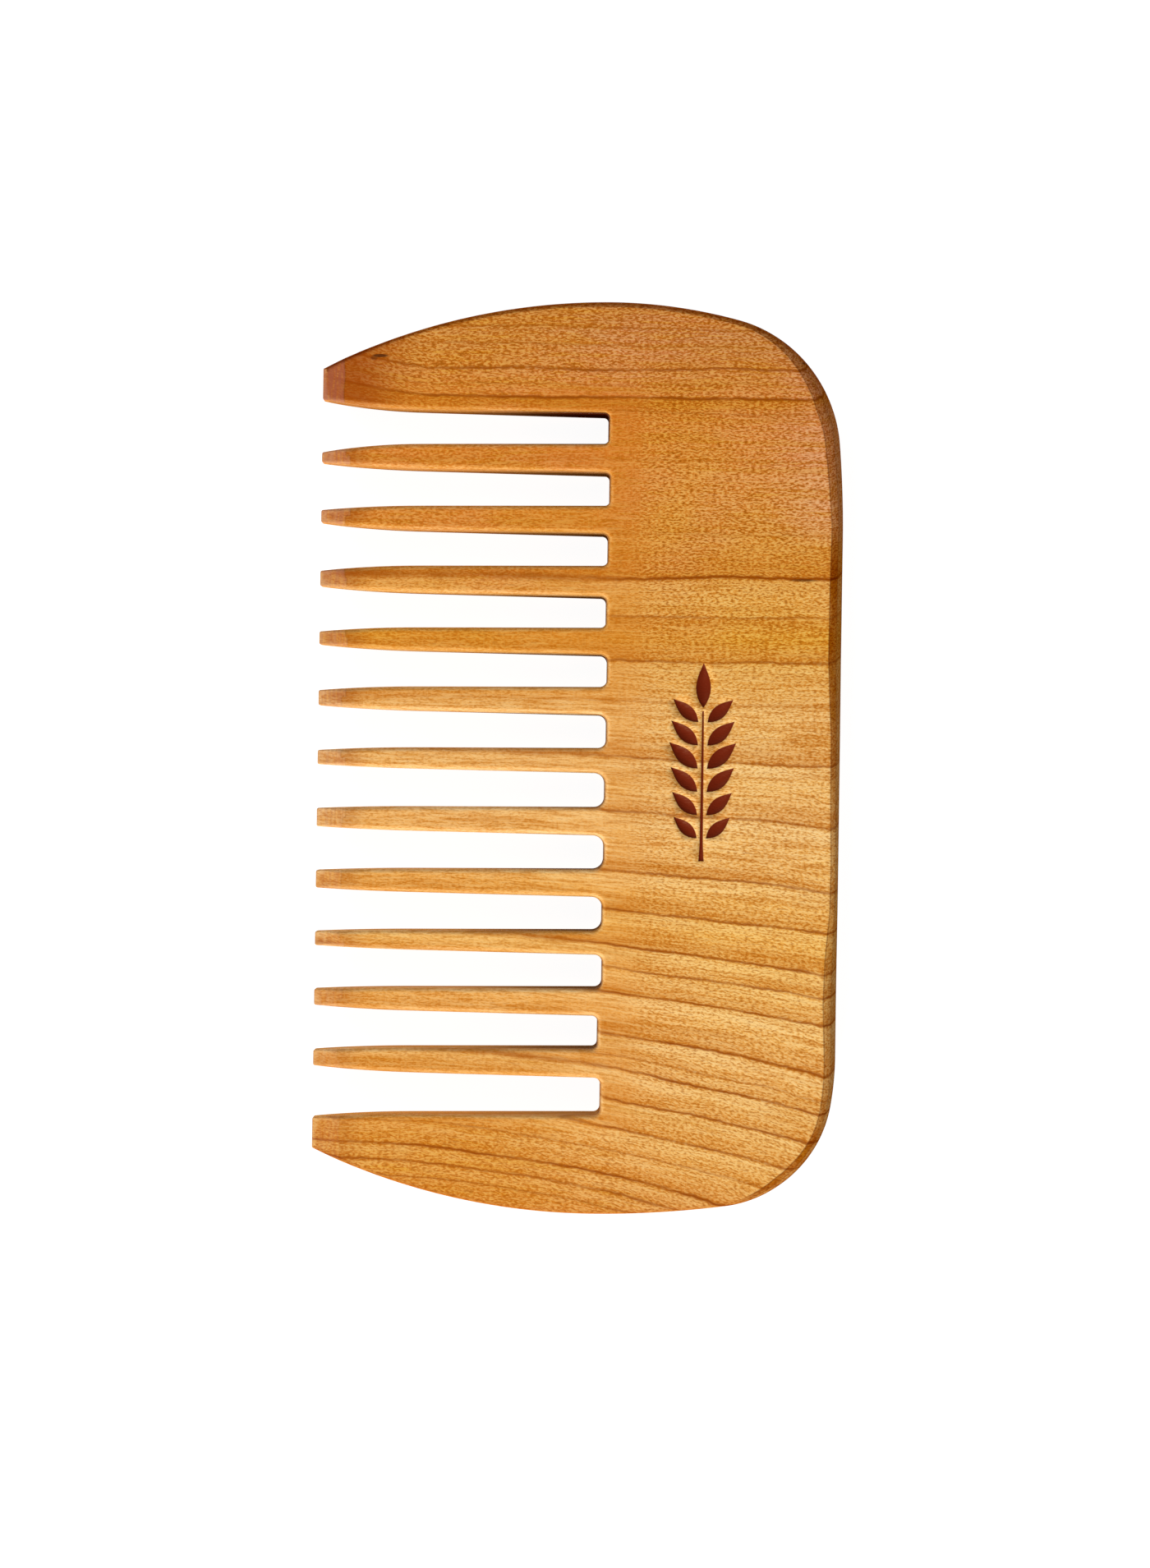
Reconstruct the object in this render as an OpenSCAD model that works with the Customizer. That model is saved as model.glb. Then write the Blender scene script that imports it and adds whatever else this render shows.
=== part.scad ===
// Wide-tooth pocket comb, sawn and sanded from one piece of wood.
// It lies flat. X runs from the tooth tips to the back, Y along the comb and Z up.
// The origin is on the surface that it rests on, under the middle of its outline.

/* [Comb] */
// Length of the comb from crown to crown
comb_length = 100; // [96:0.5:106]
// Depth from the tooth tips to the back
comb_depth = 57.4; // [56:0.1:62]
// Thickness of the back
thickness = 8; // [6:0.5:9]

/* [Upper end] */
// Radius of the crown, from its highest point to the tooth tips
upper_crown_r = 70; // [66:0.5:76]
// Radius of the shoulder, between the crown and the corner
upper_shoulder_r = 56; // [45:1:70]
// Turn of the shoulder in degrees
upper_shoulder_turn = 14.5; // [10:0.5:17]
// Radius of the corner beside the back
upper_corner_r = 15.1; // [13:0.1:17]
// Radius of the stretch that runs out from the corner into the straight back
upper_run_out_r = 120; // [60:5:150]
// Turn of that stretch in degrees
upper_run_out_turn = 5; // [3:0.5:7]

/* [Lower end] */
// Radius of the crown, from its lowest point to the tooth tips
lower_crown_r = 72.5; // [70:0.5:80]
// Radius of the shoulder, between the crown and the corner
lower_shoulder_r = 110; // [80:5:130]
// Turn of the shoulder in degrees
lower_shoulder_turn = 8; // [6:0.5:10]
// Radius of the corner beside the back
lower_corner_r = 13.4; // [12:0.2:15]
// Radius of the stretch that runs out from the corner into the straight back
lower_run_out_r = 33; // [25:1:50]
// Turn of that stretch in degrees
lower_run_out_turn = 9.5; // [7:0.5:12]

/* [Sanded edge] */
// Width of the bevel round the comb, seen from above
bevel_w = 1.4; // [1:0.1:1.8]
// Height that the bevel takes off each side of the edge
bevel_h = 1.5; // [1:0.1:2]
// Share of the bevel's width that the flatter of its two facets takes
flat_share = 0.6; // [0.5:0.05:0.7]
// Share of the bevel's height that the same facet takes
flat_drop = 0.35; // [0.25:0.05:0.4]

/* [Taper of the faces] */
// Depth of the flat back, from its edge to the line where both faces start to fall
flat_depth = 24.5; // [23:0.5:26]
// Thickness of the teeth just before the bevel of their tips
tooth_t = 4; // [3.6:0.1:5]
// Length of the bevel on each face of a tip
tip_bevel_l = 2.3; // [1.5:0.1:3]
// Height that this bevel takes off each face
tip_bevel_h = 0.7; // [0.4:0.1:1]

/* [Gaps] */
// Length of a gap from the tips to its root
gap_depth = 31.6; // [28:0.2:32.4]
// Distance from one gap to the next
pitch = 6.64; // [6.6:0.02:6.8]
// Distance from the middle of the row of gaps to the middle of the comb
row_shift = -0.42; // [-0.8:0.02:0.8]
// Growth of a gap's width for each millimetre towards the tips
draft = 0.021; // [0.015:0.001:0.025]
// Length of the stretch on which the teeth curve in to their tips
flare_l = 11; // [9:0.5:14]

/* [Hidden] */

// The gaps were sawn by hand, so each differs a little from the even row. From the upper end:
// [shift along Y, width at the root, width at the mouth, shift of the root along X, root corner]
SHIFT = 0;
ROOT_W = 1;
MOUTH_W = 2;
ROOT_X = 3;
CORNER_R = 4;
gap_rows = [
    [0, 3.3, 5.8, -0.1, 0.5],
    [0, 3.6, 5.2, 0.1, 0.5],
    [0, 3.5, 5.3, 0, 0.6],
    [-0.2, 3.4, 5.0, -0.1, 0.6],
    [0, 3.5, 5.0, 0.1, 0.8],
    [0, 3.6, 4.9, 0.1, 0.9],
    [0.2, 3.7, 4.8, 0, 1.1],
    [0, 3.7, 4.8, 0, 1.2],
    [-0.1, 3.7, 4.8, -0.1, 1.1],
    [0.2, 3.7, 4.8, 0, 0.8],
    [0.2, 3.6, 5.0, -0.4, 0.6],
    [-0.2, 4.1, 5.7, 0, 0.7],
];

tip_x = -comb_depth / 2;
back_x = comb_depth / 2;
half_l = comb_length / 2;
root_x = tip_x + gap_depth;

// How far the cutters run past the faces, the tips and each other
clear = 1;
// Width of the ring of edge pieces that follows the outline
ring_w = 7;
// Distance from the outline to the points of the core that fills the ring
core_in = 2;
// Steps on the curve of a tooth's side
flare_steps = 4;
// Facets that stand for a full circle
round_fn = 96;

// Each half of the outline runs from the back to the tips as tangent arcs: [radius, turn].
// The last arc is the crown. It starts where the outline is widest and turns until it is past the tips.
RADIUS = 0;
TURN = 1;
CROWN_START = 90;
upper_bend = [
    [upper_run_out_r, upper_run_out_turn],
    [upper_corner_r, CROWN_START - upper_run_out_turn - upper_shoulder_turn],
    [upper_shoulder_r, upper_shoulder_turn],
    [upper_crown_r, undef],
];
lower_bend = [
    [lower_run_out_r, lower_run_out_turn],
    [lower_corner_r, CROWN_START - lower_run_out_turn - lower_shoulder_turn],
    [lower_shoulder_r, lower_shoulder_turn],
    [lower_crown_r, undef],
];

function way(angle) = [cos(angle), sin(angle)];
function turn_before(bend, k) = k == 0 ? 0 : turn_before(bend, k - 1) + bend[k - 1][TURN];
// Centre of arc k, measured from the centre of the first
function offset_of(bend, k) = k == 0
    ? [0, 0]
    : offset_of(bend, k - 1) + (bend[k - 1][RADIUS] - bend[k][RADIUS]) * way(turn_before(bend, k));
// Where the straight back ends, so that the crown just reaches half the comb's length
function back_end_y(bend) =
    let (crown = len(bend) - 1)
    half_l - offset_of(bend, crown).y - bend[crown][RADIUS];
function centre_of(bend, k) = [back_x - bend[0][RADIUS], back_end_y(bend)] + offset_of(bend, k);
function turn_of(bend, k) = k < len(bend) - 1
    ? bend[k][TURN]
    : asin((centre_of(bend, k).x - tip_x + core_in + clear) / bend[k][RADIUS]);

// The same arcs with their places: [centre, radius, start, end]
CENTRE = 0;
ARC_R = 1;
START = 2;
END = 3;
function arcs_of(bend) = [
    for (k = [0:len(bend) - 1])
        let (start = turn_before(bend, k), r = bend[k][RADIUS])
        [centre_of(bend, k), r, start, start + turn_of(bend, k)]
];

// Points of the core, which lie inside the ends of the arcs
function inside(arc, angle) = arc[CENTRE] + (arc[ARC_R] - core_in) * way(angle);
function core_points(arcs) = concat(
    [for (arc = arcs) inside(arc, arc[START])],
    [let (crown = arcs[len(arcs) - 1]) inside(crown, crown[END])]
);
// The same points on the other side of the X axis, from the last to the first
function mirrored(points) = [for (k = [len(points) - 1:-1:0]) [points[k].x, -points[k].y]];

// Section through the edge, with its outermost line at x = 0 and z drawn as y
module edge_section() {
    polygon([
        [-ring_w, 0],
        [-bevel_w, 0],
        [-bevel_w * (1 - flat_share), bevel_h * flat_drop],
        [0, bevel_h],
        [0, thickness - bevel_h],
        [-bevel_w * (1 - flat_share), thickness - bevel_h * flat_drop],
        [-bevel_w, thickness],
        [-ring_w, thickness],
    ]);
}

module edge_along_arc(arc) {
    translate(arc[CENTRE])
        rotate(arc[START])
            rotate_extrude(angle = arc[END] - arc[START], $fn = round_fn)
                translate([arc[ARC_R], 0])
                    edge_section();
}

module straight_back() {
    translate([back_x, back_end_y(upper_bend), 0])
        rotate([90, 0, 0])
            linear_extrude(back_end_y(upper_bend) + back_end_y(lower_bend))
                edge_section();
}

// The uncut blank, with its bevelled edge all round except at the tips
module blank() {
    upper_arcs = arcs_of(upper_bend);
    lower_arcs = arcs_of(lower_bend);
    linear_extrude(thickness)
        polygon(concat(core_points(upper_arcs), mirrored(core_points(lower_arcs))));
    straight_back();
    for (arc = upper_arcs)
        edge_along_arc(arc);
    mirror([0, 1, 0])
        for (arc = lower_arcs)
            edge_along_arc(arc);
}

// The comb seen from its end: flat back, thinner teeth and bevelled tips
module end_view() {
    taper_x = back_x - flat_depth;
    bevel_x = tip_x + tip_bevel_l;
    line = [
        [back_x + clear, thickness / 2],
        [taper_x, thickness / 2],
        [bevel_x, tooth_t / 2],
        [tip_x, tooth_t / 2 - tip_bevel_h],
    ];
    translate([0, thickness / 2])
        polygon(concat(line, mirrored(line)));
}

module taper_form() {
    translate([0, half_l + clear, 0])
        rotate([90, 0, 0])
            linear_extrude(comb_length + 2 * clear)
                end_view();
}

// What the curve of the teeth adds to half a gap's width at its mouth
function flare(row) = (row[MOUTH_W] - row[ROOT_W] - draft * gap_depth) / 2;
// Half the width of a gap at s millimetres from its root
function half_gap(row, s) =
    let (along_flare = max(0, s - gap_depth + flare_l) / flare_l)
    (row[ROOT_W] + draft * s) / 2 + flare(row) * along_flare * along_flare;

module gap_outline(row) {
    flare_start = gap_depth - flare_l;
    flare_end = gap_depth + clear;
    corner = row[CORNER_R];
    stations = concat(
        [corner],
        [for (k = [0:flare_steps]) flare_start + (flare_end - flare_start) * k / flare_steps]
    );
    side = [for (s = stations) [-s, half_gap(row, s)]];
    polygon(concat(side, mirrored(side)));
    inner = half_gap(row, corner) - corner;
    translate([-corner - clear, -inner])
        square([corner + clear, 2 * inner]);
    for (end = [-1, 1])
        translate([-corner, end * inner])
            circle(r = corner, $fn = round_fn);
}

module gaps() {
    middle = (len(gap_rows) - 1) / 2;
    for (k = [0:len(gap_rows) - 1]) {
        row = gap_rows[k];
        gap_y = row_shift + (middle - k) * pitch + row[SHIFT];
        translate([root_x + row[ROOT_X], gap_y, -clear])
            linear_extrude(thickness + 2 * clear)
                gap_outline(row);
    }
}

module comb() {
    color([0.80, 0.55, 0.26])
        difference() {
            intersection() {
                blank();
                taper_form();
            }
            gaps();
        }
}

comb();
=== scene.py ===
import math
from collections import namedtuple

import bmesh
import bpy
import numpy as np
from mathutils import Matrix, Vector, geometry, kdtree, noise


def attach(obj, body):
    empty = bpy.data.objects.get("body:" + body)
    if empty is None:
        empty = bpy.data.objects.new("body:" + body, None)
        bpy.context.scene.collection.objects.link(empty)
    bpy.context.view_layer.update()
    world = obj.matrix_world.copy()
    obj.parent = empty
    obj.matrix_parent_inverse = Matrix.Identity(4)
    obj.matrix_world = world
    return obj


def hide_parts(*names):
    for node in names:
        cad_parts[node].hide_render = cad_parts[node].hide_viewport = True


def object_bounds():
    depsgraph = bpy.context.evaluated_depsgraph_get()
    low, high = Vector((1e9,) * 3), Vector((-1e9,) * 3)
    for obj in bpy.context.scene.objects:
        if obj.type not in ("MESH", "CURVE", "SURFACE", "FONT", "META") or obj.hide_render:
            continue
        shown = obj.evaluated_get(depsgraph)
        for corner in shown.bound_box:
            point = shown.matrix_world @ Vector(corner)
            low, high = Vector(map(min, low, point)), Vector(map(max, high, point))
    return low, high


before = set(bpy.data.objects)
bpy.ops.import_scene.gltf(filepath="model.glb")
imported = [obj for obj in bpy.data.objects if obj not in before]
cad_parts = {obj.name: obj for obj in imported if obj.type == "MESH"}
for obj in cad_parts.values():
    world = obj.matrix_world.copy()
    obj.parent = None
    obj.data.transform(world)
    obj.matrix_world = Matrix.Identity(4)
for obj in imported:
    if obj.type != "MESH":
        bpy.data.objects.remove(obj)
cad_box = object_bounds()

# Lengths below are millimetres in the frame: X runs from the tooth tips to the back, Y along the comb, Z up
MM = 0.001
LOW, HIGH = (corner / MM for corner in cad_box)
THICKNESS = HIGH.z - LOW.z
TIP_X = LOW.x
BACK_X = HIGH.x

# Taper of both faces, as in the construction
FLAT_DEPTH = 24.5
TAPER_X = BACK_X - FLAT_DEPTH
TOOTH_T = 4.0
TIP_BEVEL_L = 2.3
TIP_BEVEL_H = 0.7
# How far sanding softened the lines where the taper and the bevel of the tips start
TAPER_SOFT = 2.0
TIP_BEVEL_SOFT = 0.12
# How much longer the bevel of a tip was sanded than planned, on the teeth and on the upper end tooth
TOOTH_TIP_MORE = 0.6
END_TIP_MORE = 0.1
END_TOOTH_Y = 38.0
# The teeth are counted up from a place below the comb, in steps of one tooth and one gap
TOOTH_PITCH = 6.64
COUNT_FROM_Y = -100
# How the bevel's length differs from tooth to tooth, and how its line wanders along Y
TIP_SPREAD = 0.3
TIP_SPREAD_TURN = 2.4
TIP_WANDER = 0.06
TIP_WANDER_TURN = 1.7

# Sanded bevel round the outer edge: its height for each millimetre of width, and its flatter facet's shares
BEVEL_RISE = 1.5 / 1.4
FLAT_SHARE = 0.6
FLAT_DROP = 0.35
# The bevel was sanded by hand, so its width changes: [angle about the middle of the comb, width]
BEVEL_WIDTHS = [
    [-125, 0.25],
    [-90, 0.3],
    [-70, 0.35],
    [-64, 1.0],
    [-61, 1.05],
    [-57, 1.0],
    [-51, 1.2],
    [-43, 1.5],
    [-37, 1.35],
    [-30, 0.9],
    [-22, 0.85],
    [-8, 1.0],
    [5, 1.05],
    [21, 1.45],
    [34, 1.4],
    [42, 1.28],
    [49, 1.6],
    [55, 1.85],
    [59, 1.5],
    [64, 0.95],
    [69, 0.6],
    [90, 0.55],
    [125, 0.3],
]

# Rounding of the edges along the gaps, at the tips and round the outside
GAP_ROUND = 0.5
TIP_ROUND = 0.15
OUTER_ROUND = 0.12
# Distances from the tips between which their rounding grows to that of the gaps
TIP_ROUND_RUN = [0.3, 3.0]
# Turn of the outline above which it has a corner, and the radius that the corner gets
CORNER_TURN = math.radians(50)
CORNER_R = 0.22
CORNER_STEPS = 4
# Beyond this the outline belongs to the outer edge and not to the gaps
OUTER_X = 5.0
OUTER_Y = 41.0
# Depth of the low waves that sanding left on the faces, their length, how they are squeezed along Y,
# and the level of the noise that they are cut from
WAVE_DEPTH = 0.05
WAVE_LENGTH = 9.0
WAVE_SQUEEZE = 1.4
WAVE_LEVEL = 0.5
# The waves grow over this distance from the edge, and the lower face takes them from a place this far away
WAVE_CLEAR = 2
WAVE_SHIFT = 40

# Spacing of points along the outline and over the faces
EDGE_STEP = 0.42
FACE_STEP = 1.1
# Where rows of points follow a rounded edge, as shares of its radius
ROUND_ROWS = [0.03, 0.13, 0.3, 0.6, 1.0, 1.15]
# How near rows of points lie to the bevel's rims and to its crease, and how far past it the last one lies
RIM_ROW = 0.05
CREASE_ROW = 0.04
LAST_ROW = 0.4
# Least distance of a row from the edge, and the least share of it that its points have from every edge
LEAST_ROW = 0.01
OWN_EDGE = 0.98
# Rows beside the line where the bevel of the tips starts, and their step along Y
TIP_ROWS = (-0.14, 0, 0.14)
TIP_ROW_STEP = 0.22
# How far the points over the faces stay from the bevel, the rounded edges, the tips' edges and the sprig,
# and how far past the bevel of the tips the third of these holds
CLEAR_OF_BEVEL = 0.7
CLEAR_OF_ROUND = 0.3
CLEAR_AT_TIPS = 0.16
CLEAR_OF_SPRIG = 0.3
TIP_ZONE = 1
# Rings of points down the walls: the outer two lie this far from the rims,
# and the inner two at this share of the way from half the height to the rims
WALL_ROW = 0.1
WALL_SHARE = 0.4
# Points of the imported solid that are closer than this, in metres, are one point
SAME_PLACE = 2e-8
# Points of a face that are closer than this are one point
SAME_POINT = 1e-7
# A triangle is on the bevel if none of its points lies further past it than this
BEVEL_SLACK = 0.01

# Burned sprig on the upper face: a leaf at its top, pairs of leaves and a stem along Y
SPRIG_X = 13.6
SPRIG_TOP = 10.6
SPRIG_BOTTOM = -11.2
LEAF_LENGTH = 5.0
LEAF_WIDTH = 1.7
LEAF_STEPS = 9
# A power under 1 puts the widest place of a leaf nearer to its foot
LEAF_TAPER = 0.85
LEAF_PAIRS = 6
LEAF_ANGLE = math.radians(42)
# Pairs are shorter than the top leaf, and shrink by a share for each step from the largest pair
PAIR_SHARE = 0.86
PAIR_SHRINK = 0.06
LARGEST_PAIR = 2
# In steps from pair to pair: how far below the top leaf the first pair stands,
# and what the way from that leaf to the stem's foot has beyond one step for each pair
FIRST_PAIR = 0.55
STEM_MORE = 0.6
# How far the feet of a pair stand below its place
PAIR_DROP = 0.15
STEM_WIDTH = 0.42
STEM_STEPS = 40
# Distance of the stem from the pairs of leaves and from the top leaf
STEM_CLEAR = 0.28
STEM_TOP_CLEAR = 0.3
# The stem is wider over a stretch at its foot: shares of its width at the foot, above that and at the top
STEM_FOOT = 2
STEM_SHARES = [1.5, 1.0, 0.55]
# Depth of the burn, and how far its sides slope in
BURN_DEPTH = 0.12
BURN_SLOPE = 0.06

# The photograph's frame in pixels, and the view in it: scale at half the comb's height and lens distance
FRAME_HEIGHT_PX = 1909
FRAME_CENTRE_PX = (700, 954.5)
COMB_CENTRE_PX = (704, 922.5)
PX_PER_MM = 11.03
CAMERA_ABOVE = 514.0
COMB_TURN = math.radians(0.85)
SENSOR = 36.0

# Lamps, in metres and watts: [name, place, size, power]
LAMPS = [
    ["key", (-0.25, -0.75, 0.50), 0.28, 9.8],
    ["fill", (-0.45, 0.45, 0.60), 0.50, 2.2],
]
STUDIO_LIGHT = 0.32
# The floor, in metres: half its side and how far under the comb it lies
FLOOR_HALF = 3.0
FLOOR_BELOW = 0.00002
FLOOR_GREY = 0.2
FLOOR_ROUGHNESS = 0.9
FLOOR_GLOW = 0.95
WHITE = (1, 1, 1, 1)

# Finishes of the comb, by their place among its materials
SATIN, SANDED, SAWN = range(3)


def unit(vector):
    return vector / np.linalg.norm(vector)


def cad_outline():
    """The comb's closed outline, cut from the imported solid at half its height, anticlockwise."""
    mesh = bmesh.new()
    mesh.from_mesh(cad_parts["comb"].data)
    bmesh.ops.remove_doubles(mesh, verts=mesh.verts, dist=SAME_PLACE)
    middle = Vector((0, 0, (LOW.z + THICKNESS / 2) * MM))
    everything = mesh.verts[:] + mesh.edges[:] + mesh.faces[:]
    bmesh.ops.bisect_plane(
        mesh, geom=everything, plane_co=middle, plane_no=(0, 0, 1), clear_inner=True, clear_outer=True
    )
    mesh.verts.ensure_lookup_table()
    loop = [mesh.verts[0], mesh.verts[0].link_edges[0].other_vert(mesh.verts[0])]
    while len(loop) < len(mesh.verts):
        ends = [edge.other_vert(loop[-1]) for edge in loop[-1].link_edges]
        loop.append(ends[0] if ends[1] is loop[-2] else ends[1])
    points = np.array([vert.co.xy[:] for vert in loop]) / MM
    mesh.free()
    turned = np.roll(points, -1, 0)
    area = (points[:, 0] * turned[:, 1] - points[:, 1] * turned[:, 0]).sum()
    return without_idle_points(points if area > 0 else points[::-1])


def without_idle_points(points, least_turn=math.radians(0.1), least_side=0.02):
    """The same loop without points that lie on a straight side or right beside the last one."""
    kept = [points[0]]
    for here, after in zip(points[1:], np.roll(points, -1, 0)[1:]):
        if np.linalg.norm(here - kept[-1]) < least_side:
            continue
        a, b = unit(here - kept[-1]), unit(after - here)
        if abs(a[0] * b[1] - a[1] * b[0]) > least_turn:
            kept.append(here)
    return np.array(kept)


def with_round_corners(points):
    """The loop with an arc in place of each sharp corner."""
    made = []
    for before, here, after in zip(np.roll(points, 1, 0), points, np.roll(points, -1, 0)):
        a, b = unit(before - here), unit(after - here)
        half = math.acos(np.clip(a @ b, -1, 1)) / 2
        turn = math.pi - 2 * half
        if turn < CORNER_TURN:
            made.append(here)
            continue
        centre = here + unit(a + b) * CORNER_R / math.sin(half)
        start = here + a * CORNER_R / math.tan(half) - centre
        for k in range(CORNER_STEPS + 1):
            angle = turn * k / CORNER_STEPS
            c, s = math.cos(angle), math.sin(angle)
            made.append(centre + (c * start[0] - s * start[1], s * start[0] + c * start[1]))
    return np.array(made)


def smooth_outline(points):
    """The loop as a smooth curve through its points, at an even step."""
    ahead, behind = np.roll(points, -1, 0), np.roll(points, 1, 0)
    tangents = ahead - behind
    tangents /= np.linalg.norm(tangents, axis=1)[:, None]
    made = []
    for here, there, leaving, arriving in zip(points, ahead, tangents, np.roll(tangents, -1, 0)):
        length = np.linalg.norm(there - here)
        for t in np.linspace(0, 1, max(1, round(length / EDGE_STEP)), endpoint=False):
            made.append(
                (1 + 2 * t) * (1 - t) ** 2 * here
                + t * (1 - t) ** 2 * length * leaving
                + t * t * (3 - 2 * t) * there
                + t * t * (t - 1) * length * arriving
            )
    made = np.array(made)
    return np.clip(made, (LOW.x, LOW.y), (HIGH.x, HIGH.y))


def inward_normals(loop):
    along = np.roll(loop, -1, 0) - np.roll(loop, 1, 0)
    along /= np.linalg.norm(along, axis=1)[:, None]
    return np.stack([-along[:, 1], along[:, 0]], 1)


def bevel_widths(loop):
    """Width of the sanded bevel at each point of the outline; zero along the gaps and tips."""
    angles = np.degrees(np.arctan2(loop[:, 1], loop[:, 0]))
    widths = np.interp(angles, [row[0] for row in BEVEL_WIDTHS], [row[1] for row in BEVEL_WIDTHS])
    outer = (loop[:, 0] > OUTER_X) | (np.abs(loop[:, 1]) > OUTER_Y)
    outer &= loop[:, 0] > TIP_X + CORNER_R / 2
    return np.where(outer, widths, 0.0)


def edge_rounds(loop, widths):
    """Radius of the rounded edge at each point of the outline, smaller towards the tips."""
    along_gaps = np.interp(loop[:, 0] - TIP_X, TIP_ROUND_RUN, [TIP_ROUND, GAP_ROUND])
    return np.where(widths > 0, OUTER_ROUND, along_gaps)


def nearest_side(points, loop):
    """Distance from each point to a closed loop, and which of its points is nearest."""
    tree = kdtree.KDTree(len(loop))
    for index, (x, y) in enumerate(loop):
        tree.insert((x, y, 0), index)
    tree.balance()
    near = np.array([tree.find((x, y, 0))[1] for x, y in points])
    distance = np.full(len(points), np.inf)
    for neighbour in (near - 1, (near + 1) % len(loop)):
        side = loop[neighbour] - loop[near]
        offset = points - loop[near]
        share = np.clip((offset * side).sum(1) / (side**2).sum(1), 0, 1)
        distance = np.minimum(distance, np.linalg.norm(offset - share[:, None] * side, axis=1))
    return distance, near


def inside(points, loop):
    """Which points lie inside a closed loop."""
    x, y = points[:, 0], points[:, 1]
    found = np.zeros(len(points), bool)
    for (x0, y0), (x1, y1) in zip(loop, np.roll(loop, -1, 0)):
        crossed = (y0 > y) != (y1 > y)
        found[crossed] ^= x[crossed] < x0 + (y[crossed] - y0) * (x1 - x0) / (y1 - y0)
    return found


def rows_inside_edge(loop, widths):
    """Points in rows along the outline where the bevel and the rounding need them."""
    normals = inward_normals(loop)
    made = []
    for here, normal, width, radius in zip(loop, normals, widths, edge_rounds(loop, widths)):
        steps = [radius * share for share in ROUND_ROWS]
        if width:
            crease = width * (1 - FLAT_SHARE)
            steps = [RIM_ROW, crease - CREASE_ROW, crease + CREASE_ROW]
            steps += [width - RIM_ROW, width + RIM_ROW, width + LAST_ROW]
        made += [(*(here + normal * step), step) for step in steps if step > LEAST_ROW]
    made = np.array(made)
    distance, _ = nearest_side(made[:, :2], loop)
    return made[distance > made[:, 2] * OWN_EDGE, :2]


def tip_bevel_x(y):
    """Where the bevel of a tooth's tip starts. It differs from tooth to tooth."""
    tooth = np.floor((y - COUNT_FROM_Y) / TOOTH_PITCH)
    on_teeth = TOOTH_TIP_MORE + TIP_SPREAD * np.sin(tooth * TIP_SPREAD_TURN)
    longer = np.where(y > END_TOOTH_Y, END_TIP_MORE, on_teeth)
    return TIP_X + TIP_BEVEL_L + longer + TIP_WANDER * np.sin(y * TIP_WANDER_TURN)


def rows_across_tips():
    """Points in rows beside the line where the bevel of the tips starts."""
    y = np.arange(LOW.y, HIGH.y, TIP_ROW_STEP)
    return np.concatenate([np.stack([tip_bevel_x(y) + shift, y], 1) for shift in TIP_ROWS])


def face_grid():
    """Points in an even triangular pattern over the whole face."""
    made = []
    for row, y in enumerate(np.arange(LOW.y, HIGH.y, FACE_STEP * math.sqrt(3) / 2)):
        x = np.arange(LOW.x, HIGH.x, FACE_STEP) + FACE_STEP / 2 * (row % 2)
        made.append(np.stack([x, np.full_like(x, y)], 1))
    return np.concatenate(made)


def leaf(foot, angle, length, width):
    """A pointed leaf as a closed anticlockwise loop."""
    share = np.arange(LEAF_STEPS) / LEAF_STEPS
    there_and_back = np.concatenate([share, 1 - share])
    along = there_and_back * length
    bulge = np.sin(math.pi * there_and_back**LEAF_TAPER) * width / 2
    across = np.concatenate([-bulge[:LEAF_STEPS], bulge[LEAF_STEPS:]])
    c, s = math.cos(angle), math.sin(angle)
    return np.stack([foot[0] + c * along - s * across, foot[1] + s * along + c * across], 1)


def paired_leaves():
    """The pairs of leaves below the top one, from the upper pair down."""
    pitch = (SPRIG_TOP - LEAF_LENGTH - SPRIG_BOTTOM) / (LEAF_PAIRS + STEM_MORE)
    made = []
    for k in range(LEAF_PAIRS):
        y = SPRIG_TOP - LEAF_LENGTH - pitch * (k + FIRST_PAIR)
        size = 1 - PAIR_SHRINK * abs(k - LARGEST_PAIR)
        for side in (-1, 1):
            foot = (SPRIG_X + side * (STEM_WIDTH / 2 + STEM_CLEAR), y - PAIR_DROP)
            angle = math.pi / 2 - side * (math.pi / 2 - LEAF_ANGLE)
            made.append(leaf(foot, angle, LEAF_LENGTH * size * PAIR_SHARE, LEAF_WIDTH * size))
    return made


def stem():
    """The sprig's stem as a closed anticlockwise loop."""
    top = SPRIG_TOP - LEAF_LENGTH - STEM_TOP_CLEAR
    y = np.linspace(SPRIG_BOTTOM, top, STEM_STEPS)
    widths = STEM_WIDTH / 2 * np.interp(y, [SPRIG_BOTTOM, SPRIG_BOTTOM + STEM_FOOT, top], STEM_SHARES)
    right = np.stack([SPRIG_X + widths, y], 1)
    left = np.stack([SPRIG_X - widths, y], 1)[::-1]
    return np.concatenate([right, left])


def sprig():
    """The closed loops of the burned sprig."""
    top_leaf = leaf((SPRIG_X, SPRIG_TOP - LEAF_LENGTH), math.pi / 2, LEAF_LENGTH, LEAF_WIDTH)
    return [top_leaf] + paired_leaves() + [stem()]


def tooth_section(x, y):
    """Half the comb's thickness at a place on its face, before its edges are cut."""
    def ramp(run, soft):
        return (run + np.sqrt(run**2 + soft**2)) / 2

    slope = (THICKNESS - TOOTH_T) / 2 / (TAPER_X - TIP_X - TIP_BEVEL_L)
    bevel_slope = TIP_BEVEL_H / (tip_bevel_x(y) - TIP_X) - slope
    taper = slope * ramp(TAPER_X - x, TAPER_SOFT) + bevel_slope * ramp(tip_bevel_x(y) - x, TIP_BEVEL_SOFT)
    return THICKNESS / 2 - taper


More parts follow.
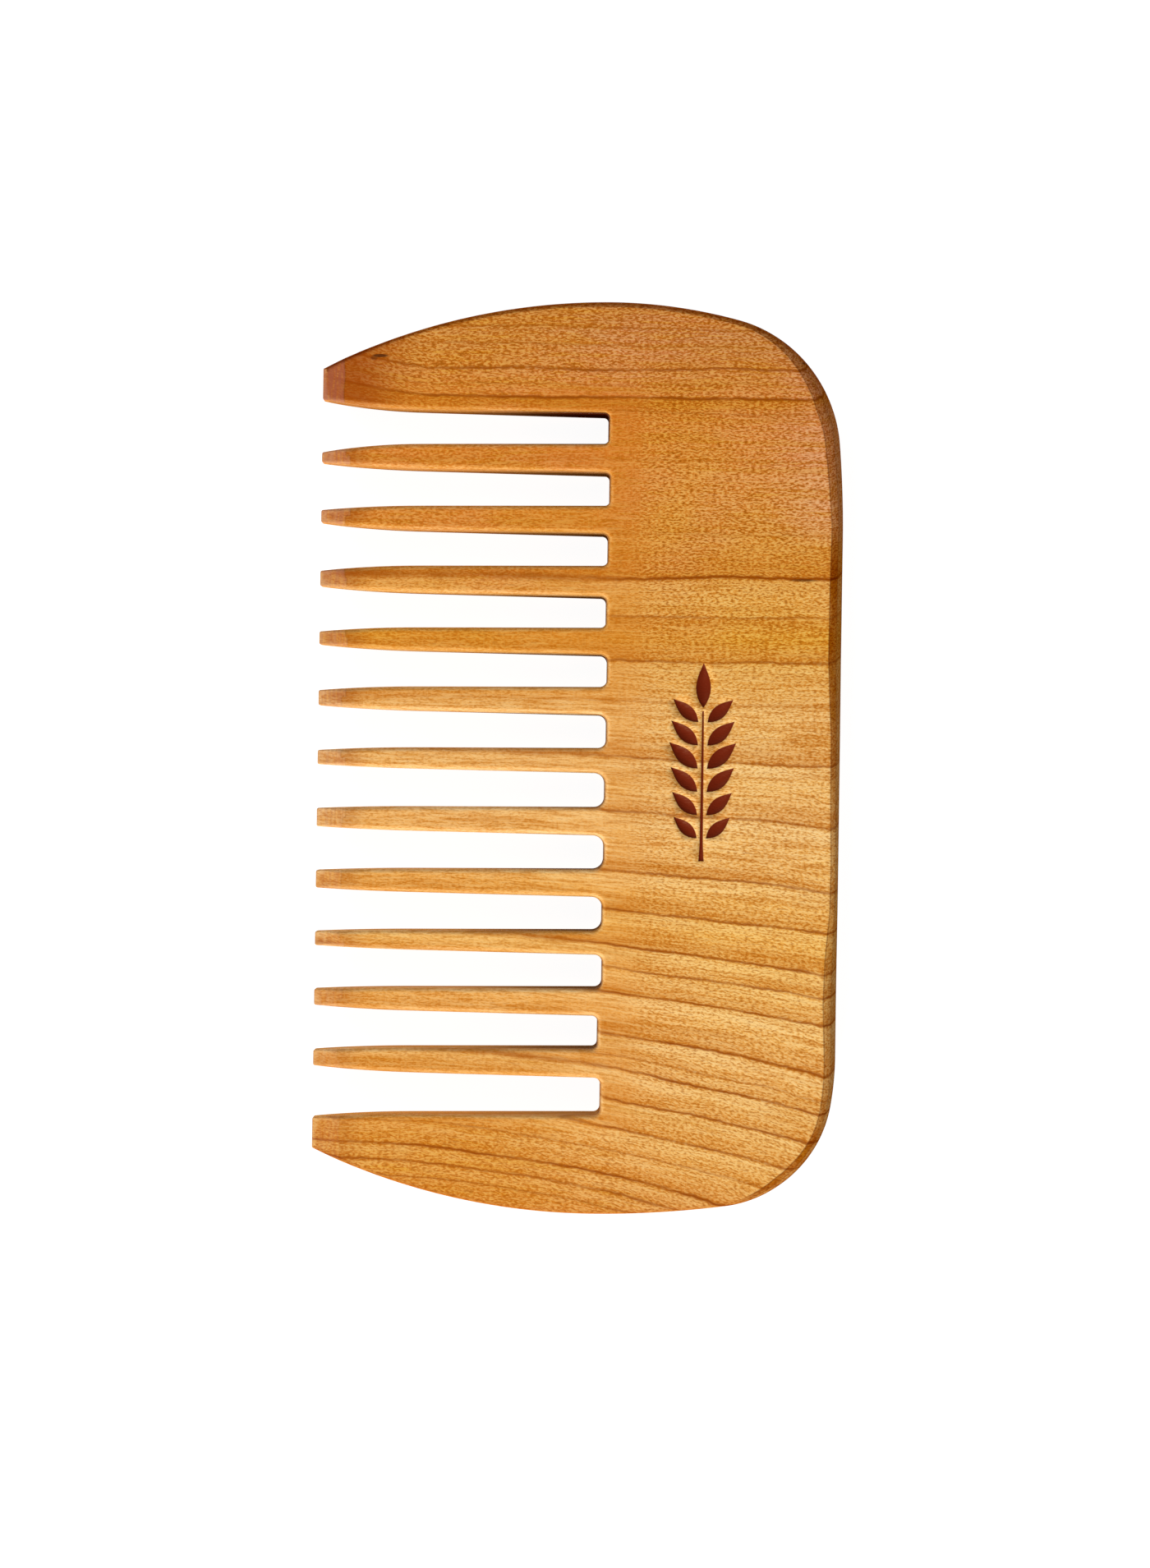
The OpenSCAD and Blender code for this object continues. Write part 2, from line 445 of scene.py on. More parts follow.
def edge_drop(distance, width, radius):
    """How far the face falls beside the edge, by the distance from it, and the bevel and rounding there."""
    never_zero = np.maximum(width, 1e-6)
    share = np.clip(distance / never_zero, 0, 1)
    height = width * BEVEL_RISE
    flat = FLAT_DROP * (1 - share) / FLAT_SHARE
    steep = FLAT_DROP + (1 - FLAT_DROP) * (1 - FLAT_SHARE - share) / (1 - FLAT_SHARE)
    bevel = height * np.where(share > 1 - FLAT_SHARE, flat, steep)
    rest = np.clip(radius - distance, 0, radius)
    rounding = radius - np.sqrt(radius**2 - rest**2)
    return bevel + rounding


def waves(points):
    """Low waves that hand sanding leaves, never above the flat face."""
    places = [Vector((x / WAVE_LENGTH, y / WAVE_LENGTH * WAVE_SQUEEZE, WAVE_LEVEL)) for x, y in points]
    found = [noise.noise(place) for place in places]
    return WAVE_DEPTH * (0.5 + 0.5 * np.clip(found, -1, 1))


def closed_sides(first, count):
    index = np.arange(count)
    return np.stack([first + index, first + (index + 1) % count], 1)


def free_points(loop, widths, shapes):
    """Points over the face, clear of the rows along its edges and of the sprig."""
    free = np.concatenate([face_grid(), rows_across_tips()])
    distance, near = nearest_side(free, loop)
    clear = np.where(widths[near] > 0, widths[near] + CLEAR_OF_BEVEL, GAP_ROUND + CLEAR_OF_ROUND)
    on_tip = free[:, 0] < TIP_X + TIP_BEVEL_L + TIP_ZONE
    keep = (distance > clear) | (on_tip & (distance > CLEAR_AT_TIPS))
    free = free[inside(free, loop) & keep]
    for shape in shapes:
        apart, _ = nearest_side(free, shape)
        free = free[~inside(free, shape) & (apart > CLEAR_OF_SPRIG)]
    return free


def face_points(loop, widths):
    """All points of a face, the sides that its triangles keep, and which points are burned."""
    shapes = sprig()
    parts, sides, burned = [loop], [closed_sides(0, len(loop))], [np.zeros(len(loop))]
    count = len(loop)
    for shape in shapes:
        for ring, mark in ((shape, 0.0), (shape + inward_normals(shape) * BURN_SLOPE, 1.0)):
            parts.append(ring)
            sides.append(closed_sides(count, len(ring)))
            burned.append(np.full(len(ring), mark))
            count += len(ring)
    for extra in (rows_inside_edge(loop, widths), free_points(loop, widths, shapes)):
        parts.append(extra)
        burned.append(np.zeros(len(extra)))
    return np.concatenate(parts), np.concatenate(sides), np.concatenate(burned)


def triangulated(points, sides):
    """Points and triangles of a face, which point each came from, and where the points went."""
    vectors = [Vector(point) for point in points]
    made = geometry.delaunay_2d_cdt(vectors, sides.tolist(), [], 1, SAME_POINT)
    places, triangles, sources = np.array([place[:] for place in made[0]]), made[2], made[3]
    came_from = np.array([source[0] for source in sources])
    went_to = np.zeros(len(points), int)
    for index, source in enumerate(sources):
        went_to[source] = index
    return places, triangles, came_from, went_to


def wall_polygons(rings, loop, widths):
    """The quads between the rings of points down the walls, and the finish of each."""
    in_gap = (widths == 0) & (loop[:, 0] > TIP_X + CORNER_R)
    after = np.roll(np.arange(len(loop)), -1)
    polygons, finishes = [], []
    for upper, lower in zip(rings, rings[1:]):
        for a, b in enumerate(after):
            polygons.append((upper[a], lower[a], lower[b], upper[b]))
            finishes.append(SAWN if in_gap[a] else SANDED)
    return polygons, finishes


def comb_mesh():
    """The whole comb as one closed mesh with its edge distance, bevel and burn kept on its points."""
    loop = smooth_outline(with_round_corners(cad_outline()))
    widths = bevel_widths(loop)
    points, sides, burned = face_points(loop, widths)
    places, triangles, came_from, went_to = triangulated(points, sides)
    burned = burned[came_from]

    distance, near = nearest_side(places, loop)
    width = widths[near]
    radius = edge_rounds(loop, widths)[near]
    half = tooth_section(places[:, 0], places[:, 1]) - edge_drop(distance, width, radius)
    on_face = np.clip(distance / WAVE_CLEAR, 0, 1)
    top = THICKNESS / 2 + half - waves(places) * on_face - BURN_DEPTH * burned
    bottom = THICKNESS / 2 - half + waves(places + WAVE_SHIFT) * on_face

    rim = went_to[: len(loop)]
    reach = half[rim]
    levels = [reach - WALL_ROW, reach * WALL_SHARE, -reach * WALL_SHARE, WALL_ROW - reach]
    walls = [np.column_stack([places[rim], THICKNESS / 2 + level]) for level in levels]
    verts = np.concatenate([np.column_stack([places, top]), np.column_stack([places, bottom])] + walls)

    count, around = len(places), len(loop)
    rings = [2 * count + around * k + np.arange(around) for k in range(len(levels))]
    wall_quads, wall_finishes = wall_polygons([rim] + rings + [count + rim], loop, widths)
    upper_face = [tuple(face) for face in triangles]
    lower_face = [tuple(count + i for i in reversed(face)) for face in triangles]
    on_bevel = distance < width + BEVEL_SLACK
    face_finishes = [SANDED if on_bevel[list(face)].all() else SATIN for face in triangles]
    marks = {
        "edge_distance": np.concatenate([distance, distance, np.zeros(around * len(levels))]),
        "bevel_width": np.concatenate([width, width] + [widths] * len(levels)),
        "burn": np.concatenate([burned, np.zeros(count + around * len(levels))]),
        "tip_run": tip_bevel_x(verts[:, 1]) - verts[:, 0],
    }
    return verts * MM, upper_face + lower_face + wall_quads, marks, face_finishes * 2 + wall_finishes


def make_comb():
    verts, polygons, marks, finishes = comb_mesh()
    mesh = bpy.data.meshes.new("comb_wood")
    mesh.from_pydata(verts.tolist(), [], [tuple(int(i) for i in face) for face in polygons])
    mesh.update()
    mesh.shade_smooth()
    mesh.polygons.foreach_set("material_index", finishes)
    for name, values in marks.items():
        attribute = mesh.attributes.new(name, "FLOAT", "POINT")
        attribute.data.foreach_set("value", values.astype(np.float32))
    piece = bpy.data.objects.new("comb_wood", mesh)
    bpy.context.scene.collection.objects.link(piece)
    return piece


# Growth rings: [place along Y under the roots of the teeth, half the width of the dark line, its strength,
# width of the darker wood beside it (above the line if positive), strength of that,
# strength of the pale wood on its other side]
RINGS = [
    [47.0, 0.20, 0.45, 1.6, 0.35, 0.00],
    [45.2, 0.18, 0.40, 0.8, 0.20, 0.00],
    [42.6, 0.26, 0.80, 1.8, 0.45, 0.10],
    [41.0, 0.16, 0.25, -0.8, 0.20, 0.00],
    [39.5, 0.30, 0.85, -2.6, 0.85, 0.10],
    [37.9, 0.18, 0.25, 0.8, 0.20, 0.00],
    [32.6, 0.20, 0.15, 1.2, 0.20, 0.05],
    [24.6, 0.20, 0.15, 1.5, 0.22, 0.10],
    [19.8, 0.32, 0.95, 3.8, 0.55, 0.40],
    [15.5, 0.24, 0.45, -2.2, 0.45, 0.15],
    [10.7, 0.26, 0.60, 2.8, 0.55, 0.45],
    [6.2, 0.20, 0.20, 1.2, 0.25, 0.15],
    [0.2, 0.24, 0.55, 2.6, 0.60, 0.35],
    [-5.8, 0.24, 0.62, 2.4, 0.55, 0.40],
    [-12.3, 0.25, 0.70, 2.2, 0.55, 0.50],
    [-16.5, 0.25, 0.72, 2.2, 0.55, 0.50],
    [-20.4, 0.25, 0.78, 2.2, 0.58, 0.60],
    [-22.8, 0.24, 0.70, 1.4, 0.45, 0.35],
    [-25.6, 0.26, 0.78, 1.8, 0.55, 0.60],
    [-30.1, 0.26, 0.82, 2.4, 0.60, 0.60],
    [-32.6, 0.20, 0.40, 1.0, 0.35, 0.20],
    [-34.0, 0.26, 0.85, 1.2, 0.50, 0.60],
    [-37.2, 0.26, 0.75, 1.8, 0.52, 0.60],
    [-40.3, 0.26, 0.75, 1.8, 0.50, 0.50],
    [-42.8, 0.20, 0.40, 1.2, 0.30, 0.25],
    [-45.6, 0.30, 0.85, 1.6, 0.60, 0.40],
    [-47.5, 0.26, 0.70, 1.2, 0.45, 0.30],
    [-49.2, 0.22, 0.55, 0.8, 0.30, 0.00],
]
# Width of the pale wood beside a ring
PALE_WIDTH = 2.2
# Rings bend down towards the back, and more so further down the comb
RING_BEND_X = -25.75
RING_LEVEL_X = 29.0
RING_BEND_Y = 15.6
RING_BEND = 2.5e-5
RING_BEND_MORE = 5.2e-7
# How far a ring shifts along Y for each millimetre of depth in the wood
RING_LEAN = 0.7
# How far the rings waver over the comb, and ripple in short waves
WAVER = 1.3
RIPPLE = 0.38
# On the teeth, which hands and hair have polished, rings are this many times wider,
# and fade by this power of it
TOOTH_SOFTNESS = 2.4
SOFT_FADE = 0.6

# Colours as a screen shows them; the wood's run from the lower to the upper end of the comb
WOOD_COLOURS = [
    [-50, (204, 126, 46)],
    [-42, (220, 154, 68)],
    [-28, (231, 170, 84)],
    [-18, (230, 166, 70)],
    [-8, (234, 177, 94)],
    [5, (230, 171, 88)],
    [13, (212, 139, 32)],
    [17.5, (220, 151, 58)],
    [20.5, (204, 124, 36)],
    [26, (206, 130, 38)],
    [33, (207, 123, 37)],
    [39, (199, 110, 29)],
    [46, (184, 108, 46)],
    [50, (178, 98, 34)],
]
RING_COLOUR = (142, 64, 0)
RING_SHADE = (186, 100, 10)
FLECK_COLOUR = (156, 82, 0)
STREAK_COLOUR = (190, 108, 12)
BLUSH_COLOUR = (206, 116, 62)
PINKISH_COLOUR = (210, 144, 126)
NEAR_GAP_COLOUR = (204, 106, 26)
# The sanded bevel's darker tone, partly its own and partly painted shade; on the rims at both ends it is
# painted shade only
BEVEL_TONE_AND_SHADE = (184, 140, 54)
# Painted shade in thin lines at the bevel's creases, along its outer edge and where the bevel of a tip
# starts
CREASE_SHADE_COLOUR = (84, 28, 0)
# Painted shade for the walls and steep edges of the gaps
END_GRAIN_COLOUR = (130, 62, 0)
GAP_SHADE_COLOUR = (66, 14, 2)
TIP_COLOUR = (156, 90, 68)
STAIN_COLOUR = (148, 62, 0)
BURN_COLOUR = (104, 28, 8)
KNOT_COLOUR = (62, 22, 6)
# The oil in the wood warms its sheen, which only the faces have
SHEEN_TINT = (1.0, 0.70, 0.36, 1.0)
SATIN_SHEEN = 0.12
# How much paler the pale dashes and the pale wood beside the rings are: a lower power is paler
PALE_POWER = 0.62
# Full shares of the pale flecks, the pale wood beside rings, the stains at the tips and the painted shade
# on the edges in the gaps
PALE_FLECKS = 0.9
PALE_RINGS = 0.7
STAIN_SHARE = 0.88
GAP_SHADE_SHARE = 0.9
# Painted shade in the gaps fades faster on the rounded edges than on the walls, by this power
GAP_SHADE_POWER = 2.0
# Relief of the grain: its strength, its depth in metres, and how much the dark lines of rings are sunk
RELIEF = 0.5
RELIEF_DEPTH = 0.00006
RING_RELIEF = -0.1
SAWN_ROUGHNESS = 0.95

# Dark marks in the wood: [x, y, half length, half height, strength]
MARKS = [
    [-22.4, 43.85, 1.1, 0.24, 0.85],
    [-23.1, 43.6, 0.5, 0.3, 0.5],
    [24.1, 43.6, 0.28, 0.2, 0.7],
    [24.4, 19.75, 1.8, 0.20, 0.6],
]
# A mark is darkest where the squares of its shares along X and Y add up to less than this
MARK_CORE = 0.15

# Patterns in the wood: (size of a feature, detail, how far it is drawn out along X, Y and Z)
PATTERNS = {
    "waver": (8.0, 3.0, (2.4, 0.8, 0.8)),
    "ripple": (0.9, 2.0, (1.4, 1, 1)),
    "uneven rings": (2.2, 3.0, (2.5, 1, 1)),
    "flecks": (0.15, 1.0, (2.8, 1, 1)),
    "threads": (0.22, 2.0, (26, 1, 1)),
    "streaks": (0.8, 3.0, (24, 1, 1)),
    "sanding": (0.14, 1.0, (1, 14, 1)),
    "clouds": (9.0, 2.0, (1.5, 1, 1)),
    "bevel patches": (3.0, 2.0, (0.6, 1, 0.3)),
    "tip scratches": (0.22, 2.0, (1, 10, 10)),
    "saw marks": (0.16, 2.0, (1, 40, 3)),
}
# How strong each finer layer of a pattern is beside the one before it
PATTERN_ROUGHNESS = 0.5

# How one thing changes with another: (where the change starts, where it ends, the result before, and after)
CHANGES = {
    # With a pattern above
    "ring strength": (0.35, 0.60, 0.75, 1.15),
    "blush": (0.40, 0.66, 0.0, 0.35),
    "streak share": (0.48, 0.68, 0.0, 0.55),
    "dark threads": (0.51, 0.66, 0.0, 0.62),
    "pale threads": (0.48, 0.34, 0.0, 0.60),
    "dark flecks": (0.48, 0.34, 0.0, 0.62),
    "pale flecks": (0.48, 0.62, 0.0, 1.0),
    "pale scratches": (0.52, 0.70, 0.0, 0.30),
    "bevel evenness": (0.40, 0.62, 1.0, 0.8),
    "tip evenness": (0.35, 0.60, 0.55, 1.0),
    "gap shade evenness": (0.30, 0.70, 0.97, 0.8),
    "roughness": (0.30, 0.70, 0.56, 0.42),
    # With X
    "onto teeth": (8.0, -6.0, 0.0, 1.0),
    "near gaps": (10.0, 3.0, 0.0, 1.0),
    "polish from tips": (-8.0, 1.0, 0.65, 1.0),
    "pinkish near back": (19.0, 27.0, 0.0, 0.2),
    "warmer near gaps": (14.0, 4.0, 0.0, 1.0),
    "handled": (5.0, -8.0, 0.0, 1.0),
    "shade at roots": (-16.0, 1.0, 0.3, 1.0),
    "top rings rise": (-16.0, TIP_X, 0.0, -1.7),
    # With Y
    "top rings": (33.0, 38.0, 0.0, 1.0),
    "blush above": (5.0, 25.0, 0.25, 1.0),
    "pinkish above": (22.0, 28.0, 0.0, 1.0),
    "warmer above": (14.0, 28.0, 0.18, 0.42),
    "crisper above": (5.0, 25.0, 0.9, 1.3),
    "darker lowest teeth": (-28.0, -36.0, 0.12, 0.52),
    "darker upper end tooth": (40.0, 45.0, 0.12, 0.45),
    "shade in uppermost gap": (30.0, 38.0, 0.6, 1.0),
    "less shade in lowest gap": (-38.0, -30.0, 0.4, 1.0),
    "bevel above": (20.0, 28.0, 1.0, 0.5),
    "bevel below": (-10.0, 8.0, 0.5, 1.0),
    "bevel of lower corner": (-35.0, -41.0, 0.0, 1.0),
    "upper rim": (38.0, 43.0, 0.0, 0.8),
    "lower rim": (-38.0, -43.0, 0.0, 0.5),
    "worn tips above": (-45.0, 36.0, 0.25, 0.60),
    "worn end tip": (37.0, 39.0, 0.0, 0.3),
    "longer end stain": (37.0, 39.0, 1.0, 0.35),
    "stain on end bevel": (37.0, 39.0, 0.0, 0.5),
    # With Y either way from the middle
    "between end teeth": (39.8, 38.0, 0.0, 1.0),
    "beside gaps": (43.0, 39.0, 0.0, 1.0),
    # With the distance from an edge, a crease, or the line where a tip's bevel starts
    "on bevel": (-0.03, 0.03, 0.0, 1.0),
    "flatter facet": (-0.04, 0.04, 0.3, 1.0),
    "inner crease": (0.12, 0.02, 0.0, 0.5),
    "outer crease": (0.10, 0.02, 0.0, 0.25),
    "outer edge": (0.15, 0.03, 0.0, 0.35),
    "rim": (0.60, 0.20, 0.0, 1.0),
    "worn edge": (0.55, 0.15, 0.0, 0.5),
    "on tip bevel": (-0.06, 0.06, 0.0, 1.0),
    "off tip bevel": (0.06, -0.06, 0.0, 1.0),
    "stain run": (-3.2, -0.2, 0.0, 1.0),
    "tip line": (0.14, 0.03, 0.0, 0.35),
    # With the width of the bevel
    "full bevel": (0.30, 0.75, 0.0, 1.0),
    "any bevel": (0.10, 0.20, 0.0, 1.0),
    "little bevel": (0.2, 0.1, 0.0, 1.0),
    "no bevel": (0.1, 0.0, 0.0, 1.0),
    # With how squarely the surface faces an axis
    "end grain": (0.40, 0.98, 0.0, 0.5),
    "steep": (0.80, 0.50, 0.0, 1.0),
    "cleaner sides": (0.75, 0.95, 1.0, 0.25),
    # With how far hands have polished the wood
    "polished": (0.0, 1.0, 1.0, 0.4),
    # With the place across a ring
    "into ring": (-0.15, 0.05, 0.0, 1.0),
    "into pale wood": (-0.15, -0.5, 0.0, 1.0),
    "along pale wood": (-PALE_WIDTH, -0.4, 0.0, 1.0),
}

# Where the shader is: its place, the place's parts, and how squarely the surface faces X, Y and Z
Spot = namedtuple("Spot", "place x y z facing_x facing_y facing_z")


class Graph:
    """Adds nodes to one node tree and joins them."""

    def __init__(self, tree):
        self.tree = tree

    def add(self, kind, inputs, **settings):
        node = self.tree.nodes.new(kind)
        for name, value in settings.items():
            setattr(node, name, value)
        for name, value in inputs.items():
            self.feed(node.inputs[name], value)
        return node

    def feed(self, socket, value):
        if isinstance(value, bpy.types.NodeSocket):
            self.tree.links.new(value, socket)
        else:
            socket.default_value = value

    def math(self, operation, *values, clamp=False):
        inputs = dict(enumerate(values))
        return self.add("ShaderNodeMath", inputs, operation=operation, use_clamp=clamp).outputs[0]

    def product(self, first, *others):
        for other in others:
            first = self.math("MULTIPLY", first, other)
        return first

    def largest(self, first, *others):
        for other in others:
            first = self.math("MAXIMUM", first, other)
        return first

    def magnitude(self, value):
        return self.math("ABSOLUTE", value)

    def remap(self, value, start, end, low=0.0, high=1.0, smooth=True):
        """Follows value from start to end, as low to high and no further."""
        inputs = {"Value": value, "From Min": start, "From Max": end, "To Min": low, "To Max": high}
        kind = "SMOOTHSTEP" if smooth else "LINEAR"
        return self.add("ShaderNodeMapRange", inputs, interpolation_type=kind).outputs[0]

    def change(self, name, value):
        return self.remap(value, *CHANGES[name])

    def split(self, vector):
        return self.add("ShaderNodeSeparateXYZ", {"Vector": vector}).outputs[:]

    def combine(self, x, y, z):
        return self.add("ShaderNodeCombineXYZ", {"X": x, "Y": y, "Z": z}).outputs[0]

    def divided(self, vector, parts):
        inputs = {0: vector, 1: parts}
        return self.add("ShaderNodeVectorMath", inputs, operation="DIVIDE").outputs[0]

    def pattern(self, name, place):
        """Noise with features of the named pattern's size and shape."""
        size, detail, stretch = PATTERNS[name]
        drawn = self.divided(place, [size * part for part in stretch])
        inputs = {"Vector": drawn, "Scale": 1.0, "Detail": detail, "Roughness": PATTERN_ROUGHNESS}
        return self.add("ShaderNodeTexNoise", inputs).outputs[0]

    def tinted(self, wood, share, shade, kind="MIX"):
        """The wood with a share of a colour, or where kind is MULTIPLY, of a darker tint."""
        inputs = {0: share, 6: wood, 7: colour(*shade)}
        return self.add("ShaderNodeMix", inputs, data_type="RGBA", blend_type=kind).outputs[2]

    def paler(self, wood, share):
        lifted = self.add("ShaderNodeGamma", {"Color": wood, "Gamma": PALE_POWER}).outputs[0]
        return self.add("ShaderNodeMix", {0: share, 6: wood, 7: lifted}, data_type="RGBA").outputs[2]

    def ramp(self, value, stops):
        node = self.add("ShaderNodeValToRGB", {"Fac": value})
        elements = node.color_ramp.elements
        while len(elements) < len(stops):
            elements.new(0.5)
        for element, (position, shade) in zip(elements, stops):
            element.position = position
            element.color = shade
        return node.outputs[0]

    def attribute(self, name):
        return self.add("ShaderNodeAttribute", {}, attribute_name=name).outputs["Fac"]


def colour(red, green, blue):
    """A colour given in the 0 to 255 of a screen, as the linear values that a shader takes."""
    def linear(value):
        value /= 255
        return value / 12.92 if value <= 0.04045 else ((value + 0.055) / 1.055) ** 2.4

    return (linear(red), linear(green), linear(blue), 1.0)


def spot_on_comb(g):
    """Where the shader is on the comb, in millimetres."""
    in_metres = g.add("ShaderNodeTexCoord", {}).outputs["Object"]
    place = g.divided(in_metres, (MM, MM, MM))
    normal = g.add("ShaderNodeNewGeometry", {}).outputs["Normal"]
    return Spot(place, *g.split(place), *[g.magnitude(part) for part in g.split(normal)])


def ring_group():
    """Node group that adds one growth ring: its dark line, the darker wood beside it and the pale wood."""
    group = bpy.data.node_groups.new("growth_ring", "ShaderNodeTree")
    inputs = ["Place", "Softness", "Ring", "Width", "Strength"]
    inputs += ["Fade", "Side", "Fade strength", "Pale strength"]
    outputs = ["Line", "Shade", "Pale"]
    for name in inputs + outputs:
        group.interface.new_socket(name, in_out="INPUT", socket_type="NodeSocketFloat")
    for name in outputs:
        group.interface.new_socket(name, in_out="OUTPUT", socket_type="NodeSocketFloat")
    g = Graph(group)
    given = group.nodes.new("NodeGroupInput").outputs
    away = g.math("SUBTRACT", given["Place"], given["Ring"])
    blurred = g.math("DIVIDE", g.magnitude(away), given["Softness"])
    line = g.product(g.remap(blurred, given["Width"], 0.0), given["Strength"])
    beside = g.product(away, given["Side"])
    fading = g.remap(beside, given["Fade"], 0.0, smooth=False)
    shade = g.product(g.change("into ring", beside), fading, given["Fade strength"])
    pale = g.product(g.change("into pale wood", beside), g.change("along pale wood", beside))
    pale = g.product(pale, given["Pale strength"])
    result = group.nodes.new("NodeGroupOutput")
    for name, made in zip(outputs, (line, shade, pale)):
        group.links.new(g.largest(made, given[name]), result.inputs[name])
    return group


def ring_place(g, spot):
    """Distance across the growth rings: Y, bent by the grain's curve and leaning through the thickness."""
    square = g.product(*[g.math("SUBTRACT", spot.x, RING_BEND_X)] * 2)
    reach = g.math("SUBTRACT", square, RING_LEVEL_X**2)
    place = spot.y
    # The bend depends on the ring's own level, which two steps come close enough to
    for _ in range(2):
        below = g.largest(g.math("SUBTRACT", RING_BEND_Y, place), 0.0)
        bend = g.product(below, g.math("MULTIPLY_ADD", below, RING_BEND_MORE, RING_BEND))
        place = g.math("MULTIPLY_ADD", bend, reach, spot.y)
    rise = g.product(g.change("top rings rise", spot.x), g.change("top rings", spot.y))
    place = g.math("ADD", place, rise)
    face_z = g.remap(spot.x, TIP_X, TAPER_X, THICKNESS / 2 + TOOTH_T / 2, THICKNESS, smooth=False)
    under = g.math("SUBTRACT", spot.z, face_z)
    return g.math("MULTIPLY_ADD", under, RING_LEAN, place)


def grain_places(g, spot):
    """Distance across the rings, and the places where short and long grain are looked up."""
    waver = g.math("MULTIPLY_ADD", g.pattern("waver", spot.place), WAVER, -WAVER / 2)
    smooth_across = g.math("ADD", ring_place(g, spot), waver)
    ripple = g.math("MULTIPLY_ADD", g.pattern("ripple", spot.place), RIPPLE, -RIPPLE / 2)
    across = g.math("ADD", smooth_across, ripple)
    return across, g.combine(spot.x, across, spot.z), g.combine(spot.x, smooth_across, spot.z)


def growth_rings(g, spot, across, group):
    """The dark lines of the rings, the darker wood beside them and the pale wood after them."""
    on_teeth = g.product(g.change("onto teeth", spot.x), g.change("between end teeth", g.magnitude(spot.y)))
    softness = g.remap(on_teeth, 0.0, 1.0, 1.0, TOOTH_SOFTNESS)
    made = [0.0, 0.0, 0.0]
    for ring, width, strength, fade, fade_strength, pale_strength in RINGS:
        inputs = {
            "Place": across, "Softness": softness, "Ring": ring, "Width": width, "Strength": strength,
            "Fade": abs(fade), "Side": math.copysign(1.0, fade), "Fade strength": fade_strength,
            "Pale strength": pale_strength, "Line": made[0], "Shade": made[1], "Pale": made[2],
        }
        node = g.add("ShaderNodeGroup", {}, node_tree=group)
        for name, value in inputs.items():
            g.feed(node.inputs[name], value)
        made = node.outputs[:]
    uneven = g.change("ring strength", g.pattern("uneven rings", spot.place))
    line = g.math("DIVIDE", g.product(made[0], uneven), g.math("POWER", softness, SOFT_FADE))
    return line, g.product(made[1], uneven), made[2]


def heart_and_sap(g, across):
    """The wood between its rings, which turns from golden to reddish towards the upper end."""
    low, high = WOOD_COLOURS[0][0], WOOD_COLOURS[-1][0]
    stops = [((place - low) / (high - low), colour(*shade)) for place, shade in WOOD_COLOURS]
    return g.ramp(g.remap(across, low, high, smooth=False), stops)


def broad_tones(g, wood, spot):
    """Red clouds, a pale pinkish stretch beside the upper back, and warmer wood beside the gaps."""
    blush = g.change("blush", g.pattern("clouds", spot.place))
    wood = g.tinted(wood, g.product(blush, g.change("blush above", spot.y)), BLUSH_COLOUR)
    pinkish = g.product(g.change("pinkish near back", spot.x), g.change("pinkish above", spot.y))
    wood = g.tinted(wood, pinkish, PINKISH_COLOUR)
    warmer = g.product(g.change("warmer near gaps", spot.x), g.change("beside gaps", g.magnitude(spot.y)))
    return g.tinted(wood, g.product(warmer, g.change("warmer above", spot.y)), NEAR_GAP_COLOUR)


def handled(g, spot):
    """How much hands have darkened the teeth, most on the lowest teeth and on the upper end tooth."""
    low = g.change("darker lowest teeth", spot.y)
    high = g.change("darker upper end tooth", spot.y)
    return g.product(g.change("handled", spot.x), g.largest(low, high))


def crispness(g, spot):
    """How crisp the flecks are: less where hands polished the wood, and more towards the upper end."""
    near_gaps = g.product(g.change("near gaps", spot.x), g.change("beside gaps", g.magnitude(spot.y)))
    polished = g.product(near_gaps, g.change("polish from tips", spot.x))
    return g.product(g.change("polished", polished), g.change("crisper above", spot.y))


def dark_marks(g, spot):
    """A small knot and a few dark spots."""
    found = 0.0
    for mark_x, mark_y, half_x, half_y, strength in MARKS:
        along = g.math("DIVIDE", g.math("SUBTRACT", spot.x, mark_x), half_x)
        up = g.math("DIVIDE", g.math("SUBTRACT", spot.y, mark_y), half_y)
        reach = g.math("ADD", g.product(along, along), g.product(up, up))
        found = g.largest(g.remap(reach, 1.0, MARK_CORE, 0.0, strength), found)
    return found


def painted_gap_shade(g, spot):
    """How much painted shade the gaps get: most at their roots and in the uppermost gap, least in the
    lowest.
    """
    gap = g.product(g.change("shade in uppermost gap", spot.y), g.change("less shade in lowest gap", spot.y))
    return g.product(g.change("shade at roots", spot.x), gap)


